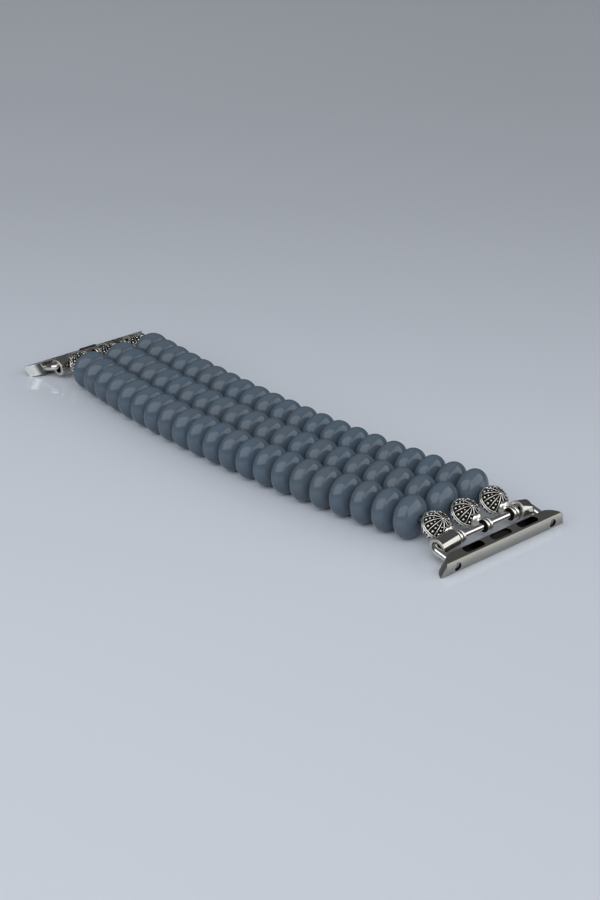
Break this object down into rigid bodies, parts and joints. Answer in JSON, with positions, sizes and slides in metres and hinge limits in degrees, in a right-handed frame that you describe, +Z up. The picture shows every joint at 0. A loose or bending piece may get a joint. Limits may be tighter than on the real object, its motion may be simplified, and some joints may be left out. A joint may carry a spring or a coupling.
{
  "type": "watch band",
  "caption": "Beaded stretch watch band: strands of stone rondelles on elastic cords, ribbed silver end beads on wire bails, and slide-in lugs with spring lock buttons.",
  "frame": {"origin": "on the table under the middle of the laid-out band, halfway between the two lugs", "axes": "+X along the band to the near lug, +Y from the front strand to the back strand, +Z up from the table"},
  "size_m": [0.1139, 0.037, 0.0073],
  "materials": {
    "stone": "polished, slate blue-grey",
    "cord": "clear elastic, matt",
    "antique_silver": "cast silver, blackened in the recesses",
    "wire": "polished",
    "sleeve": "polished",
    "lug_steel": "dark gunmetal, satin",
    "screw": "polished",
    "lock_button": "black, satin",
    "spring": "spring steel",
    "lock_plate": "black, matt"
  },
  "bodies": {
    "row_11": {"bead_row_11": "stone", "cord_front": "cord", "cord_middle": "cord", "cord_back": "cord"},
    "row_10": {"bead_row_10": "stone"},
    "row_09": {"bead_row_09": "stone"},
    "row_08": {"bead_row_08": "stone"},
    "row_07": {"bead_row_07": "stone"},
    "row_06": {"bead_row_06": "stone"},
    "row_05": {"bead_row_05": "stone"},
    "row_04": {"bead_row_04": "stone"},
    "row_03": {"bead_row_03": "stone"},
    "row_02": {"bead_row_02": "stone"},
    "row_01": {"bead_row_01": "stone"},
    "row_12": {"bead_row_12": "stone"},
    "row_13": {"bead_row_13": "stone"},
    "row_14": {"bead_row_14": "stone"},
    "row_15": {"bead_row_15": "stone"},
    "row_16": {"bead_row_16": "stone"},
    "row_17": {"bead_row_17": "stone"},
    "row_18": {"bead_row_18": "stone"},
    "row_19": {"bead_row_19": "stone"},
    "row_20": {"bead_row_20": "stone"},
    "row_21": {"bead_row_21": "stone"},
    "near_end_beads": {"near_end_bead_front": "antique_silver", "near_end_bead_middle": "antique_silver", "near_end_bead_back": "antique_silver"},
    "near_adapter": {"near_bail": "wire", "near_lug": "lug_steel", "near_leg_screws": "screw", "near_lock_spring": "spring", "near_lock_plate": "lock_plate"},
    "near_button": {"near_lock_button": "lock_button"},
    "near_sleeve_front": {"near_sleeve_front": "sleeve"},
    "near_sleeve_back": {"near_sleeve_back": "sleeve"},
    "far_end_beads": {"far_end_bead_front": "antique_silver", "far_end_bead_middle": "antique_silver", "far_end_bead_back": "antique_silver"},
    "far_adapter": {"far_bail": "wire", "far_lug": "lug_steel", "far_leg_screws": "screw", "far_lock_spring": "spring", "far_lock_plate": "lock_plate"},
    "far_button": {"far_lock_button": "lock_button"},
    "far_sleeve_front": {"far_sleeve_front": "sleeve"},
    "far_sleeve_back": {"far_sleeve_back": "sleeve"}
  },
  "joints": [
    {"name": "flex_row_12", "type": "hinge", "parent": "row_11", "child": "row_12", "pos_m": [0.00215, 0, 0.00365], "axis": [0, -1, 0], "range_deg": [0, 10], "deforming": ["cord_front", "cord_middle", "cord_back"]},
    {"name": "flex_row_13", "type": "hinge", "parent": "row_12", "child": "row_13", "pos_m": [0.00645, 0, 0.00365], "axis": [0, -1, 0], "range_deg": [0, 10]},
    {"name": "flex_row_14", "type": "hinge", "parent": "row_13", "child": "row_14", "pos_m": [0.01075, 0, 0.00365], "axis": [0, -1, 0], "range_deg": [0, 10]},
    {"name": "flex_row_15", "type": "hinge", "parent": "row_14", "child": "row_15", "pos_m": [0.01505, 0, 0.00365], "axis": [0, -1, 0], "range_deg": [0, 10]},
    {"name": "flex_row_16", "type": "hinge", "parent": "row_15", "child": "row_16", "pos_m": [0.01935, 0, 0.00365], "axis": [0, -1, 0], "range_deg": [0, 10]},
    {"name": "flex_row_17", "type": "hinge", "parent": "row_16", "child": "row_17", "pos_m": [0.02365, 0, 0.00365], "axis": [0, -1, 0], "range_deg": [0, 10]},
    {"name": "flex_row_18", "type": "hinge", "parent": "row_17", "child": "row_18", "pos_m": [0.02795, 0, 0.00365], "axis": [0, -1, 0], "range_deg": [0, 10]},
    {"name": "flex_row_19", "type": "hinge", "parent": "row_18", "child": "row_19", "pos_m": [0.03225, 0, 0.00365], "axis": [0, -1, 0], "range_deg": [0, 10]},
    {"name": "flex_row_20", "type": "hinge", "parent": "row_19", "child": "row_20", "pos_m": [0.03655, 0, 0.00365], "axis": [0, -1, 0], "range_deg": [0, 10]},
    {"name": "flex_row_21", "type": "hinge", "parent": "row_20", "child": "row_21", "pos_m": [0.04085, 0, 0.00365], "axis": [0, -1, 0], "range_deg": [0, 10]},
    {"name": "flex_near_end", "type": "hinge", "parent": "row_21", "child": "near_end_beads", "pos_m": [0.04515, 0, 0.00365], "axis": [0, -1, 0], "range_deg": [0, 10]},
    {"name": "flex_row_10", "type": "hinge", "parent": "row_11", "child": "row_10", "pos_m": [-0.00215, 0, 0.00365], "axis": [0, 1, 0], "range_deg": [0, 10]},
    {"name": "flex_row_09", "type": "hinge", "parent": "row_10", "child": "row_09", "pos_m": [-0.00645, 0, 0.00365], "axis": [0, 1, 0], "range_deg": [0, 10]},
    {"name": "flex_row_08", "type": "hinge", "parent": "row_09", "child": "row_08", "pos_m": [-0.01075, 0, 0.00365], "axis": [0, 1, 0], "range_deg": [0, 10]},
    {"name": "flex_row_07", "type": "hinge", "parent": "row_08", "child": "row_07", "pos_m": [-0.01505, 0, 0.00365], "axis": [0, 1, 0], "range_deg": [0, 10]},
    {"name": "flex_row_06", "type": "hinge", "parent": "row_07", "child": "row_06", "pos_m": [-0.01935, 0, 0.00365], "axis": [0, 1, 0], "range_deg": [0, 10]},
    {"name": "flex_row_05", "type": "hinge", "parent": "row_06", "child": "row_05", "pos_m": [-0.02365, 0, 0.00365], "axis": [0, 1, 0], "range_deg": [0, 10]},
    {"name": "flex_row_04", "type": "hinge", "parent": "row_05", "child": "row_04", "pos_m": [-0.02795, 0, 0.00365], "axis": [0, 1, 0], "range_deg": [0, 10]},
    {"name": "flex_row_03", "type": "hinge", "parent": "row_04", "child": "row_03", "pos_m": [-0.03225, 0, 0.00365], "axis": [0, 1, 0], "range_deg": [0, 10]},
    {"name": "flex_row_02", "type": "hinge", "parent": "row_03", "child": "row_02", "pos_m": [-0.03655, 0, 0.00365], "axis": [0, 1, 0], "range_deg": [0, 10]},
    {"name": "flex_row_01", "type": "hinge", "parent": "row_02", "child": "row_01", "pos_m": [-0.04085, 0, 0.00365], "axis": [0, 1, 0], "range_deg": [0, 10]},
    {"name": "flex_far_end", "type": "hinge", "parent": "row_01", "child": "far_end_beads", "pos_m": [-0.04515, 0, 0.00365], "axis": [0, 1, 0], "range_deg": [0, 10]},
    {"name": "near_lug_swing", "type": "hinge", "parent": "near_end_beads", "child": "near_adapter", "pos_m": [0.0517, -0.004, 0.0025], "axis": [0, -1, 0], "range_deg": [0, 120]},
    {"name": "far_lug_swing", "type": "hinge", "parent": "far_end_beads", "child": "far_adapter", "pos_m": [-0.0517, 0.004, 0.0025], "axis": [0, 1, 0], "range_deg": [0, 120]},
    {"name": "near_lock_press", "type": "slide", "parent": "near_adapter", "child": "near_button", "axis": [0.2707, 0, 0.9627], "range_m": [0, 0.00034], "stiffness_N_per_m": 1500, "springref_m": -0.0003, "deforming": ["near_lock_spring"]},
    {"name": "far_lock_press", "type": "slide", "parent": "far_adapter", "child": "far_button", "axis": [0.3012, 0, -0.9535], "range_m": [0, 0.00034], "stiffness_N_per_m": 1500, "springref_m": -0.0003, "deforming": ["far_lock_spring"]},
    {"name": "near_sleeve_front_spin", "type": "hinge", "parent": "near_adapter", "child": "near_sleeve_front", "pos_m": [0.0517, -0.0126, 0.00236], "axis": [0, -0.9948, -0.102], "continuous": true},
    {"name": "near_sleeve_back_spin", "type": "hinge", "parent": "near_adapter", "child": "near_sleeve_back", "pos_m": [0.0517, 0.0054, 0.00236], "axis": [0, 0.9854, -0.17], "continuous": true},
    {"name": "far_sleeve_front_spin", "type": "hinge", "parent": "far_adapter", "child": "far_sleeve_front", "pos_m": [-0.0517, -0.0054, 0.00236], "axis": [0, -0.9854, -0.17], "continuous": true},
    {"name": "far_sleeve_back_spin", "type": "hinge", "parent": "far_adapter", "child": "far_sleeve_back", "pos_m": [-0.0517, 0.0126, 0.00236], "axis": [0, 0.9948, -0.102], "continuous": true}
  ]
}
